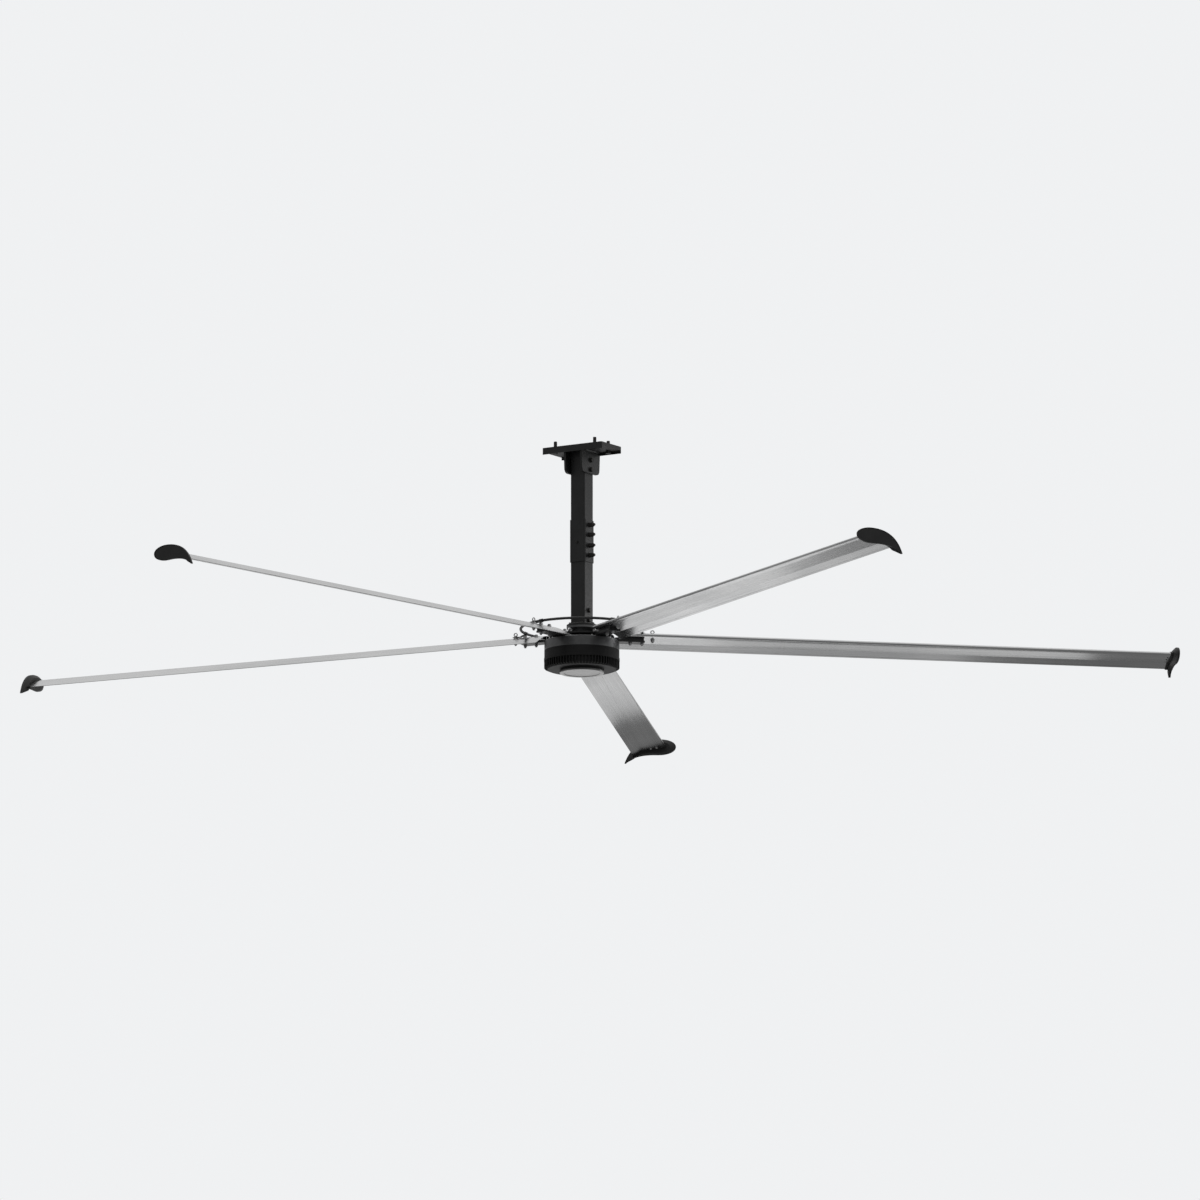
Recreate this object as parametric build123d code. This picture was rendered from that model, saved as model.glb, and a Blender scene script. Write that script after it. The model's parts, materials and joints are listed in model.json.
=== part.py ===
from build123d import *
from collections import namedtuple
import math
import os

# A large, slow ceiling fan: five long blades on a gearless motor that hangs from a square mast.
# Sizes are in millimetres. The origin is the centre of the ceiling plate's top face, +X runs along
# the plate's long side, +Y along its short side and +Z up. Every height below is counted from the
# blades' plane, and the finished pieces are lowered by blade_drop.

# Overall
fan_radius = 3645.0
blade_count = 5
first_blade_angle = 43.4
blade_drop = 1161.0

# Fasteners: thread radius, width across flats, head height, nut height, washer radius and thickness
Fastener = namedtuple("Fastener", "radius across head nut washer_radius washer")
m20 = Fastener(radius=10.0, across=30.0, head=12.5, nut=16.0, washer_radius=18.5, washer=3.0)
m16 = Fastener(radius=8.0, across=24.0, head=10.0, nut=13.0, washer_radius=15.0, washer=3.0)
m12 = Fastener(radius=6.0, across=18.0, head=7.5, nut=10.0, washer_radius=12.0, washer=2.5)
m10 = Fastener(radius=5.0, across=16.0, head=6.4, nut=8.0, washer_radius=10.0, washer=2.0)
m8 = Fastener(radius=4.0, across=13.0, head=8.0, nut=6.5, washer_radius=8.0, washer=1.6)
m6 = Fastener(radius=3.0, across=12.0, head=4.5, nut=5.0, washer_radius=6.0, washer=1.6)
m5 = Fastener(radius=2.5, across=9.5, head=3.2, nut=4.0, washer_radius=5.0, washer=1.0)
hole_play = 0.5
thread_play = 0.1
bolt_tip = 6.0
seat_play = 0.05
face_play = 0.15

# Ceiling plate, and the channel-shaped bracket under it
plate_length = 424.0
plate_width = 226.0
plate_corner = 10.0
ceiling_plate_thickness = 16.0
channel_height = 24.0
channel_wall = 8.0
channel_bend = 3.0
cheek_thickness = 14.0
cheek_height = 141.0
cheek_top_width = 206.0
cheek_foot_width = 190.0
cheek_corner = 30.0
cheek_play = 0.25
cable_hole_radius = 25.0
ceiling_bolt_spacing_x = 280.0
ceiling_bolt_spacing_y = 152.0
ceiling_hole_play = 1.5
ceiling_bolt_standout = 38.0
bracket_bolt_drops = (60.0, 118.0)

# Mast
mast_side = 100.0
mast_wall = 5.0
mast_corner = 8.0
mast_inner_corner = 4.0
mast_foot_height = 73.0
mast_joint_height = 590.0
mast_joint_gap = 3.0
sleeve_wall = 4.8
sleeve_play = 0.2
sleeve_low = 454.0
sleeve_high = 713.0
sleeve_bolt_heights = (495.0, 555.0, 621.0, 681.0)
sleeve_nut_tip = 9.0
set_screw_height = 573.0
foot_bolt_heights = (99.0, 158.0)
spigot_height = 117.0
spigot_play = 0.3

# Fixed axle with its flange and neck
flange_radius = 92.0
flange_thickness = 14.0
flange_screw_count = 6
flange_screw_radius = 78.0
flange_screw_length = 24.0
flange_edge = 2.0
neck_radius = 68.0
neck_cone_height = 24.0
neck_low = -12.0
shoulder_radius = 54.0
axle_bore_radius = 22.0
axle_low = -207.0

# Ball bearings, both the same
bearing_bore_radius = 50.0
bearing_outer_radius = 75.0
bearing_width = 24.0
ball_radius = 7.2
ball_play = 0.3
ball_count = 14
race_gap = 8.5
cage_wall = 3.8
cage_width = 18.0
upper_bearing_top = -44.0
lower_bearing_top = -172.0

# Stator
stator_radius = 190.0
stator_bore_radius = 120.0
stator_back_radius = 150.0
stator_low = -130.0
stator_high = -90.0
tooth_count = 36
tooth_width = 11.0
tooth_tip_width = 24.0
tooth_tip_depth = 7.0
coil_wall = 6.5
coil_overhang = 10.0
coil_corner = 6.0
coil_play = 0.3
carrier_tube_radius = 60.0
carrier_web = 14.0
carrier_rim = 8.0
carrier_hole_radius = 12.0
carrier_hole_count = 6
carrier_hole_circle = 86.0
wire_hole_radius = 8.0
wire_hole_height = -85.0
lock_nut_radius = 63.0
lock_nut_height = 10.0
lock_nut_notch = 8.0

# Rotor: hub ring, magnet yoke and finned shell
hub_radius = 226.0
hub_edge = 2.0
hub_rim_top = -29.0
hub_seat_top = -23.0
hub_seat_radius = 200.0
hub_plate = 18.0
hub_low = -87.0
hub_wall_radius = 198.0
hub_boss_radius = 92.0
hub_mouth_radius = 62.0
boss_lip = 4.0
seal_lip_play = 0.3
seal_height = 8.0
yoke_inner_radius = 200.0
yoke_outer_radius = 226.0
yoke_low = -133.0
magnet_count = 40
magnet_share = 0.86
magnet_thickness = 8.0
magnet_margin = 5.0
shell_radius = 228.0
shell_rim = 18.0
shell_base_radius = 214.0
shell_wall_radius = 198.0
fin_count = 72
fin_thickness = 5.0
fin_radius = 227.0
shell_corner_height = -192.0
shell_foot_radius = 206.0
shell_foot_low = -200.5
shell_pad_radius = 132.0
shell_low = -213.0
shell_floor = 12.0
shell_boss_radius = 92.0
shell_mouth_radius = 66.0
shell_screw_count = 10
shell_screw_circle = 212.0
shell_screw_angle = 24.0
shell_screw_bite = 9.0

# Bottom cap
trim_radius = 134.0
trim_inner_radius = 108.0
trim_height = 11.0
trim_edge = 4.0
cap_plate_radius = 107.7
cap_plate_thickness = 4.0
badge_radius = 107.5
badge_thickness = 4.0
badge_edge = 1.5
cap_screw_count = 4
cap_screw_circle = 99.0
cap_screw_length = 10.0

# Blades, an airfoil section that is drawn across the blade and up from the blades' plane
blade_start = 240.0
blade_end = 3600.0
nose = (-57.0, 17.0)
crest = (-25.0, 30.2)
tail_start = (60.0, 4.0)
tail_end = (141.0, -38.0)
flat_start = (-22.0, 2.8)
nose_pulls = (0.27, 0.50)
back_pulls = (0.26, 0.28)
belly_pulls = (0.58, 0.24)
flat_slope = 7.7
tail_thickness = 2.6
blade_skin = 2.2
web_thickness = 2.4
web_places = (-12.0, 42.0)
hollow_end = 68.0
groove_from_edge = 14.0
groove_width = 1.6
groove_depth = 0.7

# Arms that carry the blades
arm_start = 96.0
arm_end = 384.0
arm_front = -22.0
arm_back = 57.0
arm_step = 6.0
arm_base = 10.0
arm_thickness = 15.0
arm_pad_start = 236.0
arm_corner = 10.0
arm_bolt_across = 17.5
inner_arm_bolt = 125.0
outer_arm_bolt = 170.0
clamp_outer_radius = 195.0
clamp_inner_radius = 100.0
clamp_thickness = 10.0
blade_bolt_across = 10.0
blade_bolt_places = (298.0, 371.0)
wedge_radius = 13.0
wedge_top = 28.5
wedge_reach = 6.0
crush_wall = 3.0
crush_play = 0.1

# Safety ring, its clips and the eyes
ring_radius = 368.0
ring_tube_radius = 8.0
ring_height = 48.0
eye_bolt_place = 435.0
clip_width = 25.0
clip_thickness = 2.5
clip_play = 0.5
clip_tail = 15.0
clip_bend_place = 400.0
clip_rise_place = 384.0
eye_bolt_ring = 10.0
eye_bolt_wire = 3.5
eye_bolt_collar = 10.0
eye_nut_ring = 13.0
eye_nut_wire = 5.0
eye_nut_collar = 14.0
eye_collar_height = 5.0
under_wedge_height = 4.0

# Winglets
winglet_nose = (-117.0, 15.0)
winglet_crest = (-20.0, 60.0)
winglet_tip = (194.0, -82.0)
winglet_belly = (40.0, -34.0)
winglet_chin = (-74.0, -27.0)
winglet_tip_width = 8.0
winglet_tip_lean = 20.0
winglet_tail_lean = 45.0
winglet_belly_lean = 1.5
winglet_chin_lean = 18.0
winglet_nose_pulls = (0.24, 0.50)
winglet_back_pulls = (0.53, 0.30)
winglet_tail_pulls = (0.25, 0.50)
winglet_belly_pulls = (0.35, 0.35)
winglet_chin_pulls = (0.45, 0.35)
winglet_plate = 12.0
winglet_taper = 17.0
winglet_taper_scale = 0.72
winglet_collar = 3.5
winglet_recess = 1.2
winglet_recess_scale = 0.92
plug_length = 45.0
plug_play = 0.3
winglet_screw_place = 3588.0
winglet_screws_across = (-5.0, 30.0)
winglet_screw_length = 12.0

# Places worked out from the sizes above
ceiling = blade_drop
channel_top = ceiling - ceiling_plate_thickness
plate_low = channel_top - channel_wall
cheek_inside = mast_side / 2 + cheek_play
cheek_outside = cheek_inside + cheek_thickness
sleeve_side = mast_side + 2 * (sleeve_play + sleeve_wall)
flange_top = mast_foot_height - flange_thickness
flange_low = flange_top - flange_thickness
ball_circle = (bearing_bore_radius + bearing_outer_radius) / 2
hub_ceiling = hub_seat_top - hub_plate
arm_top = hub_seat_top + arm_thickness
clamp_top = arm_top + clamp_thickness
turn_step = 360.0 / blade_count


# Simple shapes

def rod(radius, low, high):
    """A cylinder about Z from one height to another."""
    return Pos(0, 0, low) * Cylinder(radius, high - low, align=(Align.CENTER, Align.CENTER, Align.MIN))


def ring(outer, inner, low, high):
    """A plain ring about Z."""
    return rod(outer, low, high) - rod(inner, low, high)


def turned(points):
    """A solid of revolution about Z, from its outline as (radius, height) points."""
    return revolve(Plane.XZ * make_face(Polyline(*points, close=True)), Axis.Z)


def x_hole(radius, height, half_length):
    """A cylinder along X through the mast's axis, to cut a hole with."""
    return Pos(0, 0, height) * Rot(0, 90, 0) * Cylinder(radius, 2 * half_length)


def along_blade(section, start, end):
    """Extrudes a section drawn as (across, height) outward from one radius to another."""
    return Pos(start, 0, 0) * extrude(Plane.YZ * section, end - start, dir=(1, 0, 0))


def around(shape, count, offset=0.0):
    """Copies of a shape at even steps about Z."""
    return [Rot(0, 0, offset + step * 360.0 / count) * shape for step in range(count)]


# Fasteners

def hex_block(across, height):
    """A hexagonal head or nut blank on z = 0, with its top corners turned off at 30 degrees."""
    corner = across / math.sqrt(3)
    drop = (corner - across / 2) * math.tan(math.radians(30))
    blank = turned([(0, 0), (corner, 0), (corner, height - drop), (across / 2, height), (0, height)])
    return extrude(RegularPolygon(corner, 6), height) & blank


def hex_bolt(size, length):
    """A hexagon bolt whose head stands on z = 0, with its shank below."""
    tip = size.radius / 6
    shank = chamfer(rod(size.radius, -length, 0).edges().sort_by(Axis.Z)[0], tip)
    return hex_block(size.across, size.head) + shank


def cap_screw(size, length):
    """A socket head screw whose head stands on z = 0, with its shank below."""
    head = rod(size.across / 2, 0, size.head)
    socket = Pos(0, 0, size.head / 2) * extrude(RegularPolygon(size.radius * 0.85, 6), size.head)
    return head + rod(size.radius, -length, 0) - socket


def hex_nut(size, low):
    """A hexagon nut that stands on a height."""
    bore = rod(size.radius + thread_play, 0, size.nut)
    return Pos(0, 0, low) * (hex_block(size.across, size.nut) - bore)


def washer(size, low, play=hole_play):
    """A flat washer that lies on a height."""
    return ring(size.washer_radius, size.radius + play, low, low + size.washer)


def through_bolt(size, grip, nuts=1, tip=bolt_tip):
    """A bolt with washers and nuts. It clamps what lies from z = -grip to z = 0, head on top."""
    nut_face = -grip - size.washer
    length = 2 * size.washer + grip + nuts * size.nut + tip
    pieces = [Pos(0, 0, size.washer) * hex_bolt(size, length)]
    pieces.append(washer(size, 0))
    pieces.append(washer(size, nut_face))
    for number in range(nuts):
        pieces.append(Pos(0, 0, nut_face - number * size.nut) * Rot(180, 0, 0) * hex_nut(size, 0))
    return pieces


def across_mast(pieces, height, half_grip, head_side):
    """Lays bolts made upright along X through the mast, with their heads on one side of it."""
    turn = Pos(head_side * half_grip, 0, height) * Rot(0, head_side * 90, 0)
    return [turn * piece for piece in pieces]


# Ceiling bracket and its bolts

def cheek():
    """One hanging cheek, with its outline drawn across the plate's width."""
    top = cheek_top_width / 2
    foot = cheek_foot_width / 2
    low = plate_low - cheek_height
    outline = make_face(Polyline((-top, plate_low), (top, plate_low), (foot, low), (-foot, low), close=True))
    outline = fillet(outline.vertices().group_by(Axis.Y)[0], cheek_corner)
    return along_blade(outline, cheek_inside, cheek_outside)


def ceiling_bolt_places():
    """The corners of the ceiling bolts' rectangle."""
    half_x = ceiling_bolt_spacing_x / 2
    half_y = ceiling_bolt_spacing_y / 2
    return [(x, y) for x in (-half_x, half_x) for y in (-half_y, half_y)]


def plate_slab(low, high):
    """A slab with the ceiling plate's outline, between two heights."""
    return Pos(0, 0, low) * extrude(RectangleRounded(plate_length, plate_width, plate_corner), high - low)


def ceiling_holes(low, high):
    """The cable hole and the ceiling bolts' holes, to cut from a plate between two heights."""
    holes = [Pos(x, y, 0) * rod(m20.radius + ceiling_hole_play, low, high) for x, y in ceiling_bolt_places()]
    return holes + [rod(cable_hole_radius, low, high)]


def ceiling_plate():
    """The flat plate that lies against the ceiling, on top of the bracket."""
    return plate_slab(channel_top, ceiling) - ceiling_holes(channel_top, ceiling)


def ceiling_bracket():
    """A channel with its flanges down along both long sides, and the two cheeks welded into it."""
    inside = plate_width - 2 * channel_wall
    channel = plate_slab(channel_top - channel_height, channel_top)
    room = Pos(0, plate_low) * Rectangle(inside, 2 * (channel_height - channel_wall))
    room = fillet(room.vertices().group_by(Axis.Y)[-1], channel_bend)
    room = Pos(0, channel_wall - channel_height) * room
    channel -= along_blade(room, -plate_length / 2, plate_length / 2)
    bracket = channel + cheek() + Rot(0, 0, 180) * cheek()
    bracket -= ceiling_holes(plate_low, channel_top)
    for drop in bracket_bolt_drops:
        bracket -= x_hole(m16.radius + hole_play, plate_low - drop, cheek_outside)
    return bracket


def ceiling_bolts():
    """Bolts that stand up out of the plate, each with a washer under the plate."""
    length = m20.washer + ceiling - plate_low + ceiling_bolt_standout
    flip = Rot(180, 0, 0)
    bolt = Pos(0, 0, -m20.washer) * flip * hex_bolt(m20, length)
    pieces = [bolt, washer(m20, -m20.washer, ceiling_hole_play)]
    return [Pos(x, y, plate_low) * piece for x, y in ceiling_bolt_places() for piece in pieces]


def bracket_bolts():
    """The two through bolts that hold the mast between the cheeks."""
    pieces = through_bolt(m16, 2 * cheek_outside)
    laid = [across_mast(pieces, plate_low - drop, cheek_outside, 1) for drop in bracket_bolt_drops]
    return laid[0] + laid[1]


# Mast

def square_tube(low, high):
    """A length of the mast's square tube."""
    inside = mast_side - 2 * mast_wall
    section = RectangleRounded(mast_side, mast_side, mast_corner)
    section -= RectangleRounded(inside, inside, mast_inner_corner)
    return Pos(0, 0, low) * extrude(section, high - low)


def upper_mast_tube():
    """From the plate down to the joint inside the sleeve."""
    tube = square_tube(mast_joint_height + mast_joint_gap / 2, plate_low)
    heights = [plate_low - drop for drop in bracket_bolt_drops]
    heights += [height for height in sleeve_bolt_heights if height > mast_joint_height]
    for height in heights:
        tube -= x_hole(m16.radius + hole_play, height, mast_side)
    return tube


def lower_mast_tube():
    """From the joint inside the sleeve down to the flange."""
    tube = square_tube(mast_foot_height, mast_joint_height - mast_joint_gap / 2)
    heights = list(foot_bolt_heights)
    heights += [height for height in sleeve_bolt_heights if height < mast_joint_height]
    for height in heights:
        tube -= x_hole(m16.radius + hole_play, height, mast_side)
    return tube


def mast_sleeve():
    """The larger square tube over the joint."""
    inside = mast_side + 2 * sleeve_play
    corner = mast_corner + sleeve_play
    section = RectangleRounded(sleeve_side, sleeve_side, corner + sleeve_wall)
    section -= RectangleRounded(inside, inside, corner)
    sleeve = Pos(0, 0, sleeve_low) * extrude(section, sleeve_high - sleeve_low)
    for height in sleeve_bolt_heights:
        sleeve -= x_hole(m16.radius + hole_play, height, sleeve_side)
    sleeve -= Pos(0, 0, set_screw_height) * Rot(90, 0, 0) * rod(m10.radius + thread_play, 0, sleeve_side)
    return sleeve


def sleeve_bolts():
    """Four long through bolts, each with two nuts and a bare thread end on the +X side."""
    pieces = through_bolt(m16, sleeve_side, nuts=2, tip=sleeve_nut_tip)
    laid = []
    for height in sleeve_bolt_heights:
        laid += across_mast(pieces, height, sleeve_side / 2, -1)
    return laid


def sleeve_set_screw():
    """A short hexagon screw through the sleeve's -Y wall that presses on the tube."""
    reach = sleeve_wall + sleeve_play / 2
    return Pos(0, -sleeve_side / 2, set_screw_height) * Rot(90, 0, 0) * hex_bolt(m10, reach)


def mast_foot():
    """The upper flange, with the square spigot that the lower tube stands over."""
    side = mast_side - 2 * mast_wall - 2 * spigot_play
    spigot = extrude(RectangleRounded(side, side, mast_inner_corner - spigot_play), spigot_height)
    foot = rod(flange_radius, flange_top, mast_foot_height)
    foot = chamfer(foot.edges().sort_by(Axis.Z)[-1], flange_edge)
    foot = foot + Pos(0, 0, mast_foot_height) * spigot
    foot -= rod(axle_bore_radius, flange_top, mast_foot_height + spigot_height)
    for height in foot_bolt_heights:
        foot -= x_hole(m16.radius + hole_play, height, mast_side)
    hole = Pos(flange_screw_radius, 0, 0) * rod(m12.radius + hole_play, flange_top, mast_foot_height)
    for cut in around(hole, flange_screw_count):
        foot -= cut
    return foot


def foot_bolts():
    """The two through bolts that hold the spigot in the lower tube."""
    pieces = through_bolt(m16, mast_side)
    laid = [across_mast(pieces, height, mast_side / 2, 1) for height in foot_bolt_heights]
    return laid[0] + laid[1]


def flange_screws():
    """Screws from above that hold the two halves of the flange together."""
    screw = Pos(flange_screw_radius, 0, mast_foot_height) * cap_screw(m12, flange_screw_length)
    return around(screw, flange_screw_count)


# Fixed axle, stator and bearings

def motor_axle():
    """The hollow axle: flange, cone, neck, and the long seat for bearings and stator."""
    cone_low = flange_low - neck_cone_height
    axle = turned([
        (axle_bore_radius, flange_top),
        (flange_radius, flange_top),
        (flange_radius, flange_low + flange_edge),
        (flange_radius - flange_edge, flange_low),
        (neck_radius, cone_low),
        (neck_radius, neck_low),
        (shoulder_radius, neck_low),
        (shoulder_radius, upper_bearing_top),
        (bearing_bore_radius, upper_bearing_top),
        (bearing_bore_radius, axle_low),
        (axle_bore_radius, axle_low),
    ])
    depth = flange_screw_length - flange_thickness
    hole = Pos(flange_screw_radius, 0, 0) * rod(m12.radius + thread_play, flange_top - depth - hole_play, flange_top)
    for cut in around(hole, flange_screw_count):
        axle -= cut
    return axle - wire_hole()


def wire_hole():
    """A hole from the axle's bore out to the stator, for the coils' wires."""
    return Pos(0, 0, wire_hole_height) * Rot(0, 90, 0) * rod(wire_hole_radius, 0, carrier_tube_radius + 1)


def bearing_rings(top):
    """The inner and the outer ring of a bearing whose upper face is at a height."""
    middle = top - bearing_width / 2
    groove = Pos(ball_circle, middle) * Circle(ball_radius + ball_play)
    inner_low = bearing_bore_radius + seat_play
    inner_high = ball_circle - race_gap / 2
    outer_low = ball_circle + race_gap / 2
    outer_high = bearing_outer_radius - seat_play
    rings = []
    for low, high in ((inner_low, inner_high), (outer_low, outer_high)):
        section = Pos((low + high) / 2, middle) * Rectangle(high - low, bearing_width) - groove
        rings.append(revolve(Plane.XZ * section, Axis.Z))
    return rings


def ball_set(top):
    """The balls of a bearing and the cage that spaces them."""
    middle = top - bearing_width / 2
    balls = around(Pos(ball_circle, 0, middle) * Sphere(ball_radius), ball_count)
    half_wall = cage_wall / 2
    half_width = cage_width / 2
    cage = ring(ball_circle + half_wall, ball_circle - half_wall, middle - half_width, middle + half_width)
    cage = Rot(0, 0, 180.0 / ball_count) * cage
    pocket = Pos(ball_circle, 0, middle) * Rot(0, 90, 0) * Cylinder(ball_radius + ball_play, 2 * cage_wall)
    for cut in around(pocket, ball_count):
        cage -= cut
    return balls + [cage]


def stator_carrier():
    """The spacer tube between the bearings' inner rings, with the web and rim that carry the core."""
    top = upper_bearing_top - bearing_width
    middle = (stator_low + stator_high) / 2
    rim_outer = stator_bore_radius - seat_play
    rim_inner = rim_outer - carrier_rim
    carrier = ring(carrier_tube_radius, bearing_bore_radius + seat_play, lower_bearing_top, top)
    carrier += ring(rim_outer, carrier_tube_radius, middle - carrier_web / 2, middle + carrier_web / 2)
    carrier += ring(rim_outer, rim_inner, stator_low, stator_high)
    hole = Pos(carrier_hole_circle, 0, 0) * rod(carrier_hole_radius, stator_low, stator_high)
    for cut in around(hole, carrier_hole_count):
        carrier -= cut
    return carrier - wire_hole()


def stator_core():
    """The laminated core: a ring with teeth that widen at their tips."""
    tooth_length = stator_radius - stator_back_radius + 1
    tooth = Pos(stator_radius - tooth_length / 2, 0) * Rectangle(tooth_length, tooth_width)
    tip = Pos(stator_radius - tooth_tip_depth / 2, 0) * Rectangle(tooth_tip_depth, tooth_tip_width)
    teeth = around(tooth + tip, tooth_count)
    section = (Circle(stator_back_radius) + teeth) & Circle(stator_radius)
    section -= Circle(stator_bore_radius)
    return Pos(0, 0, stator_low) * extrude(section, stator_high - stator_low)


def stator_coils():
    """One wound coil around each tooth."""
    stack = stator_high - stator_low
    hole_width = tooth_width + 2 * coil_play
    hole_height = stack + 2 * coil_play
    section = RectangleRounded(hole_width + 2 * coil_wall, stack + 2 * coil_overhang, coil_corner)
    section -= Rectangle(hole_width, hole_height)
    start = stator_back_radius + 1
    end = stator_radius - tooth_tip_depth - 1
    coil = Pos(0, 0, (stator_low + stator_high) / 2) * along_blade(section, start, end)
    return around(coil, tooth_count)


def shaft_lock_nut():
    """The notched nut that holds both bearings and the carrier on the axle."""
    high = lower_bearing_top - bearing_width
    nut = ring(lock_nut_radius, bearing_bore_radius + thread_play, high - lock_nut_height, high)
    notch = Pos(lock_nut_radius, 0, high - lock_nut_height) * Box(lock_nut_notch, lock_nut_notch, lock_nut_height)
    for cut in around(notch, 4):
        nut -= cut
    return nut


# Rotor

def shell_screw_hole(radius, low, high):
    """One of the holes for the screws that clamp hub ring, yoke and shell together."""
    return Pos(shell_screw_circle, 0, 0) * rod(radius, low, high)


def hub_ring():
    """The cast hub: a plate on top, a band around it, and the boss for the upper bearing."""
    boss_top = upper_bearing_top
    boss_low = boss_top - bearing_width - boss_lip
    hub = turned([
        (hub_mouth_radius, hub_seat_top),
        (hub_seat_radius, hub_seat_top),
        (hub_seat_radius, hub_rim_top),
        (hub_radius - hub_edge, hub_rim_top),
        (hub_radius, hub_rim_top - hub_edge),
        (hub_radius, hub_low),
        (hub_wall_radius, hub_low),
        (hub_wall_radius, hub_ceiling),
        (hub_boss_radius, hub_ceiling),
        (hub_boss_radius, boss_low),
        (bearing_outer_radius, boss_low),
        (bearing_outer_radius, boss_top),
        (hub_mouth_radius, boss_top),
    ])
    for place in (inner_arm_bolt, outer_arm_bolt):
        hole = Pos(place, arm_bolt_across, 0) * rod(m16.radius + hole_play, hub_ceiling, hub_seat_top)
        for cut in around(hole, blade_count):
            hub -= cut
    hole = shell_screw_hole(m8.radius + hole_play, hub_low, hub_rim_top)
    for cut in around(hole, shell_screw_count, shell_screw_angle):
        hub -= cut
    return hub


def shaft_seal():
    """A rubber ring in the hub's mouth that keeps dust off the upper bearing."""
    inner = shoulder_radius + seal_lip_play
    return ring(hub_mouth_radius - seat_play, inner, hub_seat_top - seal_height, hub_seat_top)


def magnet_yoke():
    """The steel ring behind the magnets, which shows as a black band."""
    yoke = ring(yoke_outer_radius, yoke_inner_radius, yoke_low, hub_low)
    hole = shell_screw_hole(m8.radius + hole_play, yoke_low, hub_low)
    for cut in around(hole, shell_screw_count, shell_screw_angle):
        yoke -= cut
    return yoke


def magnets():
    """Curved magnets on the yoke's inner face."""
    outer = yoke_inner_radius - seat_play
    low = yoke_low + magnet_margin
    high = hub_low - magnet_margin
    section = Pos(outer - magnet_thickness / 2, (low + high) / 2) * Rectangle(magnet_thickness, high - low)
    magnet = revolve(Plane.XZ * section, Axis.Z, magnet_share * 360.0 / magnet_count)
    return around(magnet, magnet_count)


def cooling_fin(high):
    """One fin: an upright plate whose lower end slopes in to the shell's foot."""
    root = shell_foot_radius - 2
    outline = Polygon(
        (root, high),
        (fin_radius, high),
        (fin_radius, shell_corner_height),
        (shell_foot_radius, shell_foot_low),
        (root, shell_foot_low),
        align=None,
    )
    return extrude(Plane.XZ * outline, fin_thickness / 2, both=True)


def finned_shell():
    """The lower housing: rim, cooling fins that run round the lower corner, floor, and the lower bearing's boss."""
    rim_low = yoke_low - shell_rim
    seat_low = lower_bearing_top - bearing_width
    floor_top = shell_foot_low + shell_floor
    boss_top = lower_bearing_top + boss_lip
    shell = turned([
        (shell_radius, yoke_low),
        (shell_radius, rim_low),
        (shell_base_radius, rim_low),
        (shell_base_radius, shell_corner_height),
        (shell_foot_radius, shell_foot_low),
        (shell_pad_radius, shell_foot_low),
        (shell_pad_radius, shell_low),
        (shell_mouth_radius, shell_low),
        (shell_mouth_radius, seat_low),
        (bearing_outer_radius, seat_low),
        (bearing_outer_radius, boss_top),
        (shell_boss_radius, boss_top),
        (shell_boss_radius, floor_top),
        (shell_wall_radius, floor_top),
        (shell_wall_radius, yoke_low),
    ])
    shell = shell.fuse(*around(cooling_fin(rim_low), fin_count))
    hole = shell_screw_hole(m8.radius + thread_play, yoke_low - shell_screw_bite - hole_play, yoke_low)
    for cut in around(hole, shell_screw_count, shell_screw_angle):
        shell -= cut
    hole = Pos(cap_screw_circle, 0, 0) * rod(m5.radius + thread_play, shell_low, shell_low + cap_screw_length)
    for cut in around(hole, cap_screw_count):
        shell -= cut
    return shell


def shell_screws():
    """Long screws from the hub's rim down through the yoke into the shell."""
    length = hub_rim_top - yoke_low + shell_screw_bite
    screw = Pos(shell_screw_circle, 0, hub_rim_top) * cap_screw(m8, length)
    return around(screw, shell_screw_count, shell_screw_angle)


def cap_plate():
    """The plate that closes the shell's mouth, behind the badge disc."""
    plate = rod(cap_plate_radius, shell_low - cap_plate_thickness, shell_low)
    hole = Pos(cap_screw_circle, 0, 0) * rod(m5.radius + hole_play, shell_low - cap_plate_thickness, shell_low)
    sink = m5.across / 2 + hole_play
    well = Pos(cap_screw_circle, 0, 0) * rod(sink, shell_low - cap_plate_thickness, shell_low - 1)
    for cut in around(hole + well, cap_screw_count):
        plate -= cut
    return plate


def cap_screws():
    """Screws that hold the cap plate to the shell's floor, with their heads sunk in the plate."""
    screw = Rot(180, 0, 0) * rod(m5.radius, -cap_screw_length, 0)
    head_height = cap_plate_thickness - 1 - hole_play
    screw = screw + rod(m5.across / 2, -head_height, 0)
    return around(Pos(cap_screw_circle, 0, shell_low - 1) * screw, cap_screw_count)


def trim_ring():
    """The bright ring around the bottom disc, with rounded lower edges."""
    low = shell_low - trim_height
    width = trim_radius - trim_inner_radius
    section = Pos(trim_inner_radius + width / 2, (low + shell_low) / 2) * Rectangle(width, trim_height)
    section = fillet(section.vertices().group_by(Axis.Y)[0], trim_edge)
    return revolve(Plane.XZ * section, Axis.Z)


def badge_disc():
    """The plain bright disc in the trim ring."""
    high = shell_low - cap_plate_thickness
    disc = rod(badge_radius, high - badge_thickness, high)
    return fillet(disc.edges().sort_by(Axis.Z)[0], badge_edge)


# Blades

def flat_height(across):
    """Height of the blade's flat underside at a place across the blade."""
    return flat_start[1] - math.tan(math.radians(flat_slope)) * (across - flat_start[0])


def tail_direction():
    """Unit vector from the tail's start to its end."""
    return (Vector(*tail_end) - Vector(*tail_start)).normalized()


def flat_direction():
    """Unit vector along the flat underside, toward the nose."""
    lean = math.radians(flat_slope)
    return Vector(-math.cos(lean), math.sin(lean))


def outward(direction):
    """Unit vector out of the blade, where its outline runs in a direction from nose over back to tail."""
    return Vector(-direction.Y, direction.X)


def tail_underside(distance):
    """A point on the tail's underside, at a distance from the trailing edge."""
    tail = tail_direction()
    return Vector(*tail_end) - outward(tail) * tail_thickness - tail * distance


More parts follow.
